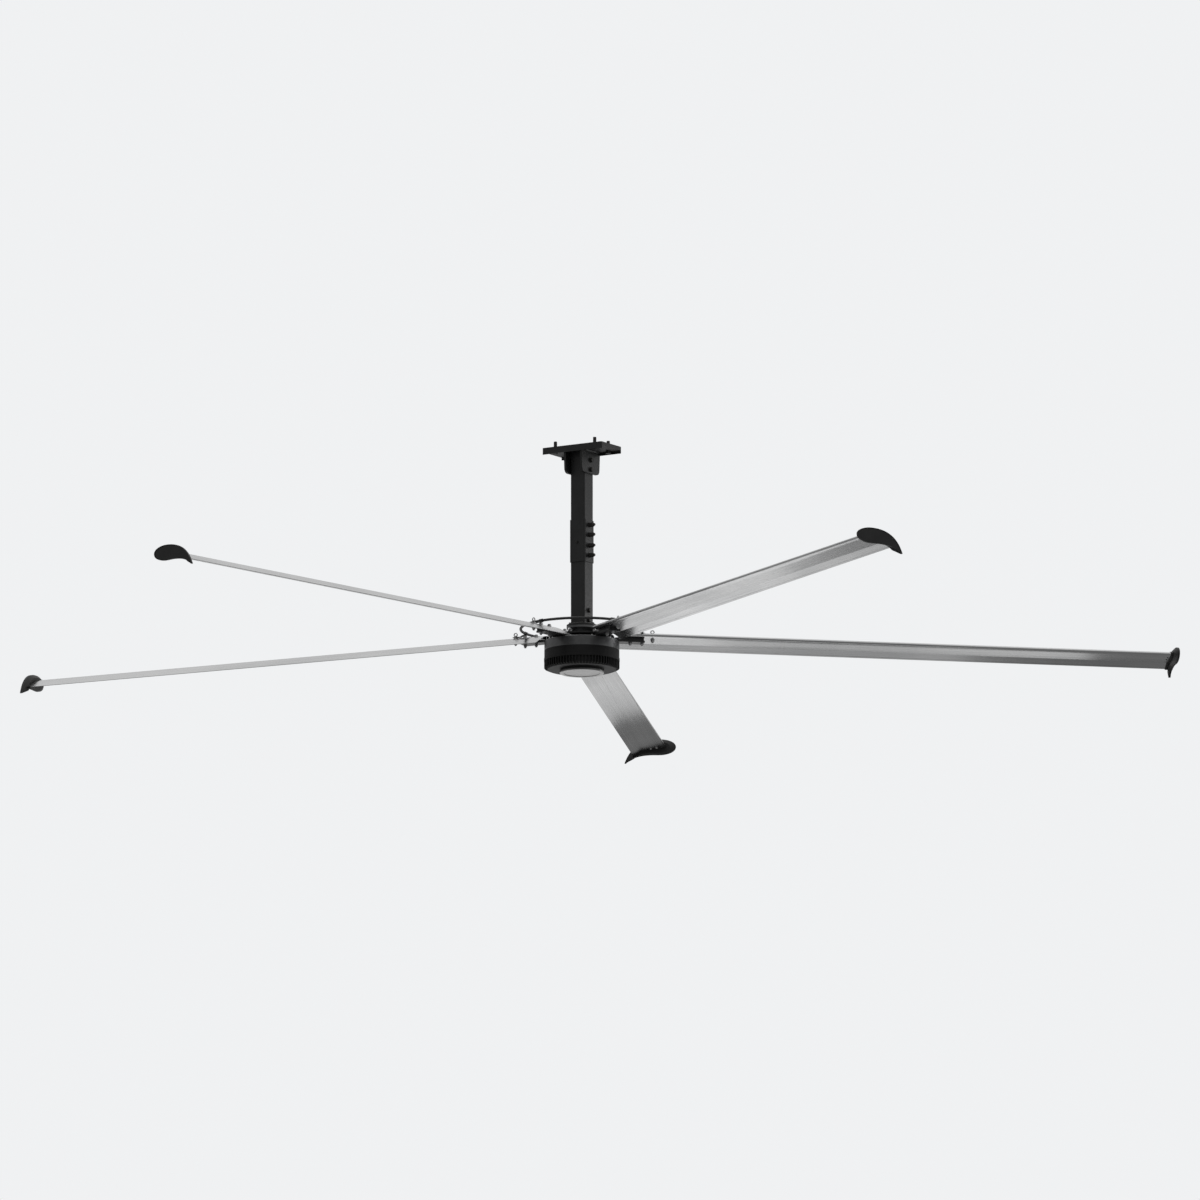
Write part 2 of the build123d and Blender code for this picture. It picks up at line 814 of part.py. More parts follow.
def across_product(one, other):
    """How far one vector lies across another."""
    return one.X * other.Y - one.Y * other.X


def knee(grow):
    """Where the flat underside meets the tail's underside, on an outline that is larger all round."""
    tail = tail_direction()
    along_flat = flat_direction() * -1
    start = Vector(*flat_start) + outward(flat_direction()) * grow
    edge = tail_underside(0) - outward(tail) * grow
    return start + along_flat * (across_product(edge - start, tail) / across_product(along_flat, tail))


def bend(start, heading, end, arrival, pulls):
    """A smooth curve between two points, with its direction given at both."""
    reach = (end - start).length
    return Bezier(start, start + heading * reach * pulls[0], end - arrival * reach * pulls[1], end)


def blade_back(grow=0.0):
    """The curved back as two curves that meet at the crest, moved out of the blade by a distance."""
    front = Vector(*nose) - Vector(grow, 0)
    top = Vector(*crest) + Vector(0, grow)
    rear = Vector(*tail_start) + outward(tail_direction()) * grow
    nose_curve = bend(front, Vector(0, 1), top, Vector(1, 0), nose_pulls)
    return [nose_curve, bend(top, Vector(1, 0), rear, tail_direction(), back_pulls)]


def blade_belly(grow=0.0):
    """The curve from the flat underside up around the nose, moved out by a distance."""
    rear = Vector(*flat_start) + outward(flat_direction()) * grow
    front = Vector(*nose) - Vector(grow, 0)
    return bend(rear, flat_direction(), front, Vector(0, 1), belly_pulls)


def blade_outline(grow=0.0):
    """The blade's outer section, or an outline around it that is larger all round."""
    tail = tail_direction()
    back_curves = blade_back(grow)
    belly = blade_belly(grow)
    tip = Vector(*tail_end) + (tail + outward(tail)) * grow
    tip_low = tail_underside(0) + (tail - outward(tail)) * grow
    corner = knee(grow)
    return make_face(back_curves + [
        Line(back_curves[-1] @ 1, tip),
        Line(tip, tip_low),
        Line(tip_low, corner),
        Line(corner, belly @ 0),
        belly,
    ])


def hollow_section(inset):
    """The blade's three hollows between its webs, drawn inside its outline by an inset."""
    back_curves = blade_back(-inset)
    belly = blade_belly(-inset)
    tail = tail_direction()
    end = hollow_end - inset + blade_skin
    start = back_curves[-1] @ 1
    top = Vector(end, start.Y + (end - start.X) * tail.Y / tail.X)
    low = Vector(end, flat_height(end) + inset / math.cos(math.radians(flat_slope)))
    hollow = make_face(back_curves + [
        Line(start, top),
        Line(top, low),
        Line(low, belly @ 0),
        belly,
    ])
    for place in web_places:
        width = web_thickness + 2 * (inset - blade_skin)
        hollow -= Pos(place, 0) * Rectangle(width, 2 * (hollow_end - nose[0]))
    return hollow


def upright_hole(radius, place, across):
    """A vertical cylinder that reaches through blade, arm and washers."""
    return Pos(place, across, 0) * rod(radius, -mast_foot_height, mast_foot_height)


def winglet_screw_seat(across):
    """Where a winglet screw's head sits under the blade, turned so that +Z points out of the skin."""
    return Pos(winglet_screw_place, across, flat_height(across)) * Rot(180 - flat_slope, 0, 0)


def blade():
    """One hollow blade along +X, with its holes."""
    groove_at = tail_underside(groove_from_edge)
    angle = math.degrees(math.atan2(tail_direction().Y, tail_direction().X))
    groove = Pos(groove_at.X, groove_at.Y) * Rot(0, 0, angle) * Rectangle(groove_width, 2 * groove_depth)
    section = blade_outline() - groove - hollow_section(blade_skin)
    body = along_blade(section, blade_start, blade_end)
    for place in blade_bolt_places + (eye_bolt_place,):
        body -= upright_hole(m12.radius + hole_play, place, blade_bolt_across)
    for across in winglet_screws_across:
        body -= winglet_screw_seat(across) * rod(m6.radius + hole_play, -2 * blade_skin, blade_skin)
    return body


def crush_tubes():
    """Tubes inside the blade's middle hollow that keep its skins apart at the bolts."""
    room = hollow_section(blade_skin + crush_play)
    inner = m12.radius + hole_play
    outer = inner + crush_wall
    tubes = []
    for place in blade_bolt_places + (eye_bolt_place,):
        tube = upright_hole(outer, place, blade_bolt_across) - upright_hole(inner, place, blade_bolt_across)
        tubes.append(tube & along_blade(room, place - outer, place + outer))
    return tubes


def wedge_washers():
    """Washers that follow the blade's curved back and have a flat top for the bolts."""
    low = flat_height(blade_bolt_across) + wedge_reach
    washers = []
    for place in blade_bolt_places + (eye_bolt_place,):
        blank = ring(wedge_radius, m12.radius + hole_play, low, wedge_top)
        body = along_blade(blade_outline(), place - wedge_radius, place + wedge_radius)
        washers.append(Pos(place, blade_bolt_across, 0) * blank - Pos(0, 0, face_play) * body)
    blank = ring(wedge_radius, m12.radius + hole_play, eye_nut_face(), low)
    body = along_blade(blade_outline(), eye_bolt_place - wedge_radius, eye_bolt_place + wedge_radius)
    washers.append(Pos(eye_bolt_place, blade_bolt_across, 0) * blank - Pos(0, 0, -face_play) * body)
    return washers


def eye_nut_face():
    """Height of the flat lower face of the washer under the blade at the eye bolt."""
    return flat_height(blade_bolt_across) - under_wedge_height


# Arms, clamp ring and their bolts

def arm():
    """One arm along +X: a broad base, a flat pad at the hub, and a pad that fits the blade's underside."""
    base_top = hub_seat_top + arm_base
    front = arm_front + arm_step
    back_edge = arm_back - arm_step
    base = make_face(Polyline(
        (arm_front, hub_seat_top), (arm_back, hub_seat_top), (arm_back, base_top), (arm_front, base_top), close=True
    ))
    hub_pad = make_face(Polyline(
        (front, base_top), (back_edge, base_top), (back_edge, arm_top), (front, arm_top), close=True
    ))
    blade_pad = make_face(Polyline(
        (front, base_top),
        (back_edge, base_top),
        (back_edge, flat_height(back_edge) - face_play),
        (front, flat_height(front) - face_play),
        close=True,
    ))
    body = along_blade(base, arm_start, arm_end)
    body = fillet(body.edges().filter_by(Axis.Z).group_by(Axis.X)[-1], arm_corner)
    body += along_blade(hub_pad, arm_start, arm_pad_start)
    body += along_blade(blade_pad, arm_pad_start, arm_end - arm_step)
    for place in (inner_arm_bolt, outer_arm_bolt):
        body -= upright_hole(m16.radius + hole_play, place, arm_bolt_across)
    for place in blade_bolt_places:
        body -= upright_hole(m12.radius + hole_play, place, blade_bolt_across)
    return body


def clamp_ring():
    """The flat ring on top of the arms' inner ends."""
    body = ring(clamp_outer_radius, clamp_inner_radius, arm_top, clamp_top)
    for place in (inner_arm_bolt, outer_arm_bolt):
        for cut in around(upright_hole(m16.radius + hole_play, place, arm_bolt_across), blade_count):
            body -= cut
    return body


def arm_bolts():
    """Bolts with their heads inside the hub, up through hub plate, arm and clamp ring."""
    grip = clamp_top - hub_ceiling
    bolts = []
    for place, above in ((inner_arm_bolt, eye_collar_height), (outer_arm_bolt, m16.washer + m16.nut)):
        bolt = Rot(180, 0, 0) * hex_bolt(m16, grip + above + bolt_tip)
        bolts += around(Pos(place, arm_bolt_across, hub_ceiling) * bolt, blade_count)
    return bolts


def arm_nuts():
    """A washer and a nut on each outer arm bolt."""
    pieces = [washer(m16, clamp_top), hex_nut(m16, clamp_top + m16.washer)]
    placed = []
    for piece in pieces:
        placed += around(Pos(outer_arm_bolt, arm_bolt_across, 0) * piece, blade_count)
    return placed


def eye(ring_radius_here, wire, collar, low):
    """A lifting eye on a collar, with the eye's hole along Y."""
    centre = low + eye_collar_height + ring_radius_here
    loop = Pos(0, 0, centre) * Rot(90, 0, 0) * Torus(ring_radius_here, wire)
    return rod(collar, low, low + eye_collar_height + wire) + loop


def eye_nuts():
    """An eye nut on each inner arm bolt."""
    low = clamp_top
    nut = eye(eye_nut_ring, eye_nut_wire, eye_nut_collar, low)
    nut -= rod(m16.radius + thread_play, low, low + eye_collar_height + bolt_tip + hole_play)
    return around(Pos(inner_arm_bolt, arm_bolt_across, 0) * nut, blade_count)


def blade_bolts():
    """Bolts down through washer, blade and arm, two to a blade."""
    length = wedge_top - hub_seat_top + m12.washer + m12.nut + bolt_tip
    bolts = []
    for place in blade_bolt_places:
        bolts += around(Pos(place, blade_bolt_across, wedge_top) * hex_bolt(m12, length), blade_count)
    return bolts


def blade_nuts():
    """A washer and a nut under each arm at the blade bolts, and a nut under each eye bolt."""
    under_arm = Pos(0, 0, hub_seat_top) * Rot(180, 0, 0)
    under_blade = Pos(0, 0, eye_nut_face()) * Rot(180, 0, 0)
    placed = []
    for place in blade_bolt_places:
        spot = Pos(place, blade_bolt_across, 0) * under_arm
        placed += around(spot * washer(m12, 0), blade_count)
        placed += around(spot * hex_nut(m12, m12.washer), blade_count)
    spot = Pos(eye_bolt_place, blade_bolt_across, 0) * under_blade
    return placed + around(spot * hex_nut(m12, 0), blade_count)


# Safety ring

def safety_ring():
    """The round steel ring above the blades."""
    return Pos(0, 0, ring_height) * Torus(ring_radius, ring_tube_radius)


def ring_clips():
    """A strap under each eye bolt whose inner end closes around the safety ring."""
    strap_middle = wedge_top + clip_thickness / 2
    inner = ring_tube_radius + clip_play
    outer = inner + clip_thickness
    loop_low = ring_height - inner - clip_thickness / 2
    centre_line = Polyline(
        (eye_bolt_place + clip_tail, strap_middle),
        (clip_bend_place, strap_middle),
        (clip_rise_place, loop_low),
        (ring_radius, loop_low),
    )
    section = trace(centre_line, clip_thickness) + Pos(ring_radius, ring_height) * Circle(outer)
    clip = extrude(Plane.XZ * section, clip_width / 2, both=True)
    clip = Pos(0, blade_bolt_across, 0) * clip
    clip -= Pos(0, 0, ring_height) * Torus(ring_radius, inner)
    clip -= upright_hole(m12.radius + hole_play, eye_bolt_place, blade_bolt_across)
    return around(clip, blade_count)


def eye_bolts():
    """An eye bolt down through each clip and blade."""
    low = wedge_top + clip_thickness
    reach = low - eye_nut_face() + m12.nut + bolt_tip
    bolt = eye(eye_bolt_ring, eye_bolt_wire, eye_bolt_collar, low) + rod(m12.radius, low - reach, low)
    return around(Pos(eye_bolt_place, blade_bolt_across, 0) * bolt, blade_count)


# Winglets

def slanted(angle):
    """Unit vector at an angle above the way to the blade's trailing edge."""
    return Vector(math.cos(math.radians(angle)), math.sin(math.radians(angle)))


def winglet_outline():
    """The winglet's outline: a round nose with a full chin, a long back and a drooping tail."""
    front = Vector(*winglet_nose)
    top = Vector(*winglet_crest)
    tip = Vector(*winglet_tip)
    tip_low = tip - Vector(winglet_tip_width, 0)
    low = Vector(*winglet_belly)
    chin = Vector(*winglet_chin)
    forward = slanted(180 - winglet_belly_lean)
    rising = slanted(180 - winglet_chin_lean)
    return make_face([
        bend(front, slanted(90), top, slanted(0), winglet_nose_pulls),
        bend(top, slanted(0), tip, slanted(winglet_tip_lean - 90), winglet_back_pulls),
        Line(tip, tip_low),
        bend(tip_low, slanted(180 - winglet_tail_lean), low, forward, winglet_tail_pulls),
        bend(low, forward, chin, rising, winglet_belly_pulls),
        bend(chin, rising, front, slanted(90), winglet_chin_pulls),
    ])


def winglet():
    """One moulded winglet: outer plate, tapered back, collar, and the plugs that fill the blade's hollows."""
    plate_start = fan_radius - winglet_plate
    taper_start = plate_start - winglet_taper
    outline = winglet_outline()
    small = scale(outline, winglet_taper_scale)
    small_face = Pos(taper_start, 0, 0) * (Plane.YZ * small)
    large_face = Pos(plate_start, 0, 0) * (Plane.YZ * outline)
    body = along_blade(outline, plate_start, fan_radius)
    body += loft([small_face, large_face], ruled=True)
    body += along_blade(blade_outline(winglet_collar), blade_end, plate_start)
    body += along_blade(hollow_section(blade_skin + plug_play), blade_end - plug_length, blade_end)
    body -= along_blade(scale(outline, winglet_recess_scale), fan_radius - winglet_recess, fan_radius)
    for across in winglet_screws_across:
        body -= winglet_screw_seat(across) * rod(m6.radius + thread_play, -winglet_screw_length - 1, 0)
    return body


def winglet_screws():
    """Small screws up through the blade's underside into the winglet's plug."""
    screw = fillet(rod(m6.across / 2, 0, m6.head).edges().sort_by(Axis.Z)[-1], 1.5)
    screw = Pos(0, 0, face_play) * screw + rod(m6.radius, -winglet_screw_length, face_play)
    placed = []
    for across in winglet_screws_across:
        placed += around(winglet_screw_seat(across) * screw, blade_count)
    return placed


# Writing the pieces

def flat_list(pieces):
    """Every solid in a shape or in a list of shapes."""
    group = pieces if isinstance(pieces, list) else [pieces]
    return [solid for piece in group for solid in piece.solids()]


def save(name, pieces, turn=0.0):
    """Writes one sub-part, turned about the axis and lowered to its place under the ceiling."""
    place = Pos(0, 0, -blade_drop) * Rot(0, 0, turn)
    solids = [place * solid for solid in flat_list(pieces)]
    shape = solids[0] if len(solids) == 1 else Compound(solids)
    export_step(shape, f"parts/{name}.step")


def save_fixed_pieces():
    """The pieces that hang still."""
    save("ceiling_plate", ceiling_plate())
    save("ceiling_bracket", ceiling_bracket())
    save("ceiling_bolts", ceiling_bolts())
    save("bracket_bolts", bracket_bolts())
    save("upper_mast_tube", upper_mast_tube())
    save("mast_sleeve", mast_sleeve())
    save("sleeve_bolts", sleeve_bolts())
    save("sleeve_set_screw", sleeve_set_screw())
    save("lower_mast_tube", lower_mast_tube())
    save("mast_foot", mast_foot())
    save("foot_bolts", foot_bolts())
    save("flange_screws", flange_screws())
    save("motor_axle", motor_axle())
    save("stator_carrier", stator_carrier())
    save("stator_core", stator_core())
    save("stator_coils", stator_coils())
    save("shaft_lock_nut", shaft_lock_nut())


def save_bearings():
    """Both bearings, ring by ring."""
    for name, top in (("upper", upper_bearing_top), ("lower", lower_bearing_top)):
        inner, outer = bearing_rings(top)
        save(f"{name}_bearing_inner_ring", inner)
        save(f"{name}_bearing_outer_ring", outer)
        save(f"{name}_bearing_balls", ball_set(top))


def save_turning_pieces():
    """The pieces that turn with the blades."""
    turn = first_blade_angle
    save("hub_ring", hub_ring(), turn)
    save("shaft_seal", shaft_seal(), turn)
    save("magnet_yoke", magnet_yoke(), turn)
    save("magnets", magnets(), turn)
    save("finned_shell", finned_shell(), turn)
    save("shell_screws", shell_screws(), turn)
    save("cap_plate", cap_plate(), turn)
    save("cap_screws", cap_screws(), turn)
    save("trim_ring", trim_ring(), turn)
    save("badge_disc", badge_disc(), turn)
    save("clamp_ring", clamp_ring(), turn)
    save("arm_bolts", arm_bolts(), turn)
    save("arm_nuts", arm_nuts(), turn)
    save("eye_nuts", eye_nuts(), turn)
    save("blade_bolts", blade_bolts(), turn)
    save("blade_nuts", blade_nuts(), turn)
    save("wedge_washers", [copy for piece in wedge_washers() for copy in around(piece, blade_count)], turn)
    save("crush_tubes", [copy for piece in crush_tubes() for copy in around(piece, blade_count)], turn)
    save("safety_ring", safety_ring(), turn)
    save("ring_clips", ring_clips(), turn)
    save("eye_bolts", eye_bolts(), turn)
    save("winglet_screws", winglet_screws(), turn)
    shapes = {"blade_arm": arm(), "blade": blade(), "winglet": winglet()}
    for name, shape in shapes.items():
        for number in range(blade_count):
            save(f"{name}_{number + 1}", shape, turn + number * turn_step)


os.makedirs("parts", exist_ok=True)
save_fixed_pieces()
save_bearings()
save_turning_pieces()
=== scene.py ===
import bmesh
import bpy
import json
import math
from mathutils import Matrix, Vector


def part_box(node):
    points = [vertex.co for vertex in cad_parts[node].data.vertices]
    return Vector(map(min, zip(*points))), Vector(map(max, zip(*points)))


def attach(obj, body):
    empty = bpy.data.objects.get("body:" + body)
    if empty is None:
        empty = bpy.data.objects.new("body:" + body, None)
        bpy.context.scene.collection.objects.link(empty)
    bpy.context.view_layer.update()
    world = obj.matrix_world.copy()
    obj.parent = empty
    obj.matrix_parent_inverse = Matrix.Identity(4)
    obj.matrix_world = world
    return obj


# The looks of a large, slow ceiling fan. Sizes are in metres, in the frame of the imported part: the
# ceiling is at z = 0 and +Z is up. The solids keep their shapes and get their materials here, and
# the screw threads and weld beads are added.

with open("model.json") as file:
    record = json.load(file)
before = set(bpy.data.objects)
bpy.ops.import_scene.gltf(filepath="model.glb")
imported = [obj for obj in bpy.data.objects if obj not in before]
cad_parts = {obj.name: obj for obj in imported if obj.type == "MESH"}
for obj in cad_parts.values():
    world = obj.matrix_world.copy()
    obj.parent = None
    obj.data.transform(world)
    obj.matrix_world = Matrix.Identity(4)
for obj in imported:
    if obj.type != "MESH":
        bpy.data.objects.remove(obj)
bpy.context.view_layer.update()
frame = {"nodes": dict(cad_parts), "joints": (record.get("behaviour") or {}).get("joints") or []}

# The fan
spin = next(joint for joint in frame["joints"] if joint["name"] == "rotor_spin")
blade_plane = spin["pos_m"][2]
blade_count = 5
first_blade_angle = math.radians(43.4)
turn_step = 2 * math.pi / blade_count

# The bracket and the mast. The cheeks are welded to the underside at plate_low. Bolt heights count
# up from the blades' plane or down from that underside.
plate_low = -0.024
cheek_half_width = 0.103
cheek_thickness = 0.014
cheek_play = 0.00025
mast_half_side = 0.050
cheek_inside = mast_half_side + cheek_play
cheek_outside = cheek_inside + cheek_thickness
ceiling_bolt_reach_x = 0.140
ceiling_bolt_reach_y = 0.076
bracket_bolt_drops = (0.060, 0.118)
sleeve_bolt_rises = (0.495, 0.555, 0.621, 0.681)
foot_bolt_rises = (0.099, 0.158)

# Screw threads. A ridge's foot reaches thread_foot of a pitch to each side of its crest, and the
# last turns at a bolt's tip are bare.
m20_radius = 0.010
m20_pitch = 0.0025
m16_radius = 0.008
m16_pitch = 0.0020
thread_height = 0.0005
thread_sink = 0.0002
thread_foot = 0.42
thread_steps = 20
bare_turns = 2
threaded_end = 0.008

# Weld beads. The face is a list of points out from the corner and down from the plate, in legs. A
# bead starts at weld_end_share of its leg and gains weld_growth with each step.
weld_leg = 0.007
weld_face = [(1, 0), (0.60, 0.20), (0.34, 0.34), (0.20, 0.60), (0, 1)]
weld_step = 0.0015
weld_ripple = 0.006
weld_ripple_depth = 0.10
weld_end_share = 0.5
weld_growth = 0.25
weld_end_gap = 0.003
weld_mast_gap = 0.006

# The photograph: a parallel view from below, 1200 pixels square. The rotor's axis crosses the
# blades' plane at axis_pixel.
image_side = 1200
pixel = 0.00602
axis_pixel = (581.85, 637.0)
view_turn = math.radians(32.5)
view_rise = math.radians(10.81)
camera_distance = 12.0
view_right = Vector((math.cos(view_turn), math.sin(view_turn), 0))
view_forward = Vector((
    -math.sin(view_turn) * math.cos(view_rise),
    math.cos(view_turn) * math.cos(view_rise),
    math.sin(view_rise),
))
view_up = view_right.cross(view_forward)
level_away = Vector((-math.sin(view_turn), math.cos(view_turn), 0))
straight_up = Vector((0, 0, 1))
hub_centre = Vector((0, 0, blade_plane))

# The room. What the fan mirrors is set apart from what lights it and from what the camera sees.
floor_height = -14.5
floor_half_side = 160.0
floor_roughness = 0.8
floor_glow = 0.7
pale = (0.87, 0.88, 0.89, 1.0)
world_light = 0.62
mirrored_front = 0.17
mirrored_back = 0.49
mirrored_side = 0.10
mirrored_sky = 0.55
mirrored_sky_start = 0.15
mirrored_floor = 0.20


# Node trees

def grey(value, warmth=0.0):
    """A nearly neutral colour, slightly warm or cold."""
    return (value * (1 + warmth), value, value * (1 - warmth), 1.0)


def add(tree, kind, **sockets):
    """Adds a node. Each named input gets a value or is linked to another node's output."""
    node = tree.nodes.new(kind)
    for name, value in sockets.items():
        socket = node.inputs[name.replace("_", " ")]
        if isinstance(value, bpy.types.NodeSocket):
            tree.links.new(value, socket)
        else:
            socket.default_value = value
    return node


def finish_material(name, metallic, specular=0.5):
    """A new material with its node tree and its Principled shader."""
    material = bpy.data.materials.new(name)
    material.use_nodes = True
    shader = material.node_tree.nodes["Principled BSDF"]
    shader.inputs["Metallic"].default_value = metallic
    shader.inputs["Specular IOR Level"].default_value = specular
    return material, material.node_tree, shader


def coordinates(tree, scale=(1, 1, 1), turn=0.0, shift=0.0):
    """Places on the object, turned back by an angle about Z, scaled along each axis and shifted."""
    source = tree.nodes.new("ShaderNodeTexCoord").outputs["Object"]
    turned = add(tree, "ShaderNodeMapping", Vector=source, Rotation=(0, 0, -turn)).outputs[0]
    shifts = (shift, shift, shift)
    scaled = add(tree, "ShaderNodeMapping", Vector=turned, Scale=scale, Location=shifts)
    return scaled.outputs[0]


def noise(tree, places, scale=1.0, detail=3.0, roughness=0.5):
    """Soft noise between 0 and 1."""
    node = add(tree, "ShaderNodeTexNoise", Vector=places, Scale=scale, Detail=detail, Roughness=roughness)
    return node.outputs[0]


def rings(tree, scale, distortion):
    """Slightly uneven rings about Z, as a number between 0 and 1."""
    node = add(tree, "ShaderNodeTexWave", Vector=coordinates(tree), Scale=scale, Distortion=distortion)
    node.wave_type = "RINGS"
    node.rings_direction = "Z"
    return node.outputs["Fac"]


def between(tree, value, low, high, start=0.3, end=0.7):
    """Goes from a low to a high number while a value goes from its start to its end."""
    node = add(tree, "ShaderNodeMapRange", Value=value, From_Min=start, From_Max=end, To_Min=low, To_Max=high)
    return node.outputs[0]


def colours(tree, value, dark, light, start=0.3, end=0.7):
    """Goes from a dark to a light colour while a value goes from its start to its end."""
    node = add(tree, "ShaderNodeValToRGB", Fac=value)
    first, last = node.color_ramp.elements
    first.position = start
    first.color = dark
    last.position = end
    last.color = light
    return node.outputs[0]


def bump(tree, height, strength, distance, under=None):
    """A bump, on top of another bump if one is given."""
    sockets = {"Height": height, "Strength": strength, "Distance": distance}
    if under is not None:
        sockets["Normal"] = under
    return add(tree, "ShaderNodeBump", **sockets).outputs[0]


def connect(tree, shader, colour, roughness, normal):
    """Links the three textured inputs of a shader."""
    tree.links.new(colour, shader.inputs["Base Color"])
    tree.links.new(roughness, shader.inputs["Roughness"])
    tree.links.new(normal, shader.inputs["Normal"])


# Materials

def powder_coat():
    """Satin powder coat: cloudy at arm's length, with the coat's fine orange peel."""
    material, tree, shader = finish_material("powder_coat", metallic=0.0)
    places = coordinates(tree)
    cloud = noise(tree, places, scale=9.0)
    peel = noise(tree, places, scale=420.0, detail=2.0)
    waves = noise(tree, places, scale=60.0, detail=2.0)
    colour = colours(tree, cloud, dark=grey(0.006, -0.03), light=grey(0.011, -0.03))
    roughness = between(tree, waves, low=0.34, high=0.46)
    wavy = bump(tree, waves, strength=0.06, distance=0.002)
    normal = bump(tree, peel, strength=0.10, distance=0.0004, under=wavy)
    connect(tree, shader, colour, roughness, normal)
    return material


def black_casting():
    """Coated aluminium casting: a coarser skin than the powder coat on steel."""
    material, tree, shader = finish_material("coated_casting", metallic=0.0, specular=0.25)
    places = coordinates(tree)
    grain = noise(tree, places, scale=240.0, detail=4.0, roughness=0.65)
    cloud = noise(tree, places, scale=14.0)
    colour = colours(tree, cloud, dark=grey(0.006), light=grey(0.011))
    roughness = between(tree, grain, low=0.50, high=0.66)
    normal = bump(tree, grain, strength=0.22, distance=0.0008)
    connect(tree, shader, colour, roughness, normal)
    return material


def hub_metal():
    """The hub ring's dark silver band, turned on a lathe: fine lines all round."""
    material, tree, shader = finish_material("turned_hub", metallic=1.0)
    lines = noise(tree, coordinates(tree, scale=(6, 6, 900)), detail=2.0)
    cloud = noise(tree, coordinates(tree), scale=16.0)
    colour = colours(tree, cloud, dark=grey(0.14, -0.02), light=grey(0.19, -0.01))
    roughness = between(tree, lines, low=0.30, high=0.44)
    normal = bump(tree, lines, strength=0.12, distance=0.0004)
    connect(tree, shader, colour, roughness, normal)
    return material


def blade_metal(number):
    """Bare extruded aluminium: streaks and die lines along one blade, and a slow drift of tone."""
    angle = first_blade_angle + (number - 1) * turn_step
    material, tree, shader = finish_material(f"extruded_blade_{number}", metallic=1.0)
    streak_places = coordinates(tree, scale=(0.5, 110, 110), turn=angle, shift=number)
    line_places = coordinates(tree, scale=(1.5, 420, 420), turn=angle, shift=number)
    drift_places = coordinates(tree, turn=angle, shift=7.0 * number)
    streaks = noise(tree, streak_places, roughness=0.6)
    lines = noise(tree, line_places, detail=2.0)
    drift = noise(tree, drift_places, scale=1.6)
    streak_share = 0.7
    tone = add(tree, "ShaderNodeMath", Value=streaks)
    tone.operation = "MULTIPLY_ADD"
    tone.inputs[1].default_value = streak_share
    tree.links.new(drift, tone.inputs[2])
    dark = grey(0.47, -0.01)
    light = grey(0.60, -0.005)
    colour = colours(tree, tone.outputs[0], dark, light, start=0.6, end=1.0)
    roughness = between(tree, lines, low=0.20, high=0.30)
    streaky = bump(tree, streaks, strength=0.05, distance=0.001)
    normal = bump(tree, lines, strength=0.12, distance=0.0003, under=streaky)
    connect(tree, shader, colour, roughness, normal)
    return material


def plate_metal(name, dark, light, smooth, rough):
    """Plain metal with a fine grain and a slight cloud, in colour and from smooth to rough."""
    material, tree, shader = finish_material(name, metallic=1.0)
    places = coordinates(tree)
    grain = noise(tree, places, scale=500.0, detail=2.0)
    cloud = noise(tree, places, scale=45.0)
    colour = colours(tree, cloud, dark, light)
    roughness = between(tree, cloud, smooth, rough)
    normal = bump(tree, grain, strength=0.10, distance=0.0002)
    connect(tree, shader, colour, roughness, normal)
    return material


def black_fastener():
    """Blackened steel, slightly brown where the oxide is thin."""
    material, tree, shader = finish_material("blackened_steel", metallic=0.6)
    places = coordinates(tree)
    cloud = noise(tree, places, scale=70.0)
    grain = noise(tree, places, scale=600.0, detail=2.0)
    colour = colours(tree, cloud, dark=grey(0.020), light=grey(0.045, 0.06))
    roughness = between(tree, cloud, low=0.32, high=0.50)
    normal = bump(tree, grain, strength=0.12, distance=0.0002)
    connect(tree, shader, colour, roughness, normal)
    return material


def moulded_plastic():
    """Black moulded plastic with a fine leathery grain."""
    material, tree, shader = finish_material("moulded_plastic", metallic=0.0, specular=0.4)
    places = coordinates(tree)
    grain = noise(tree, places, scale=320.0, roughness=0.6)
    cloud = noise(tree, places, scale=12.0)
    colour = colours(tree, cloud, dark=grey(0.008), light=grey(0.013))
    roughness = between(tree, grain, low=0.42, high=0.58)
    normal = bump(tree, grain, strength=0.18, distance=0.0005)
    connect(tree, shader, colour, roughness, normal)
    return material


def turned_disc():
    """Bright metal faced on a lathe: fine rings about the fan's axis."""
    material, tree, shader = finish_material("turned_bright_metal", metallic=1.0)
    marks = rings(tree, scale=110.0, distortion=0.6)
    colour = colours(tree, marks, dark=grey(0.26), light=grey(0.50), start=0.1, end=0.9)
    roughness = between(tree, marks, low=0.30, high=0.42)
    normal = bump(tree, marks, strength=0.12, distance=0.0004)
    connect(tree, shader, colour, roughness, normal)
    return material


def laminations():
    """The stator's stacked sheets, edge on."""
    material, tree, shader = finish_material("stacked_sheets", metallic=1.0)
    sheets = noise(tree, coordinates(tree, scale=(4, 4, 1500)), detail=1.0)
    colour = colours(tree, sheets, dark=grey(0.16, -0.05), light=grey(0.34, -0.02))
    roughness = between(tree, sheets, low=0.35, high=0.55)
    normal = bump(tree, sheets, strength=0.3, distance=0.0003)
    connect(tree, shader, colour, roughness, normal)
    return material


def coil_wire():
    """Enamelled copper wire wound round each tooth."""
    material, tree, shader = finish_material("enamelled_copper", metallic=1.0)
    wires = rings(tree, scale=300.0, distortion=0.4)
    dark = (0.30, 0.09, 0.03, 1)
    light = (0.66, 0.27, 0.12, 1)
    colour = colours(tree, wires, dark, light, start=0.1, end=0.9)
    roughness = between(tree, wires, low=0.25, high=0.40)
    normal = bump(tree, wires, strength=0.5, distance=0.0006)
    connect(tree, shader, colour, roughness, normal)
    return material


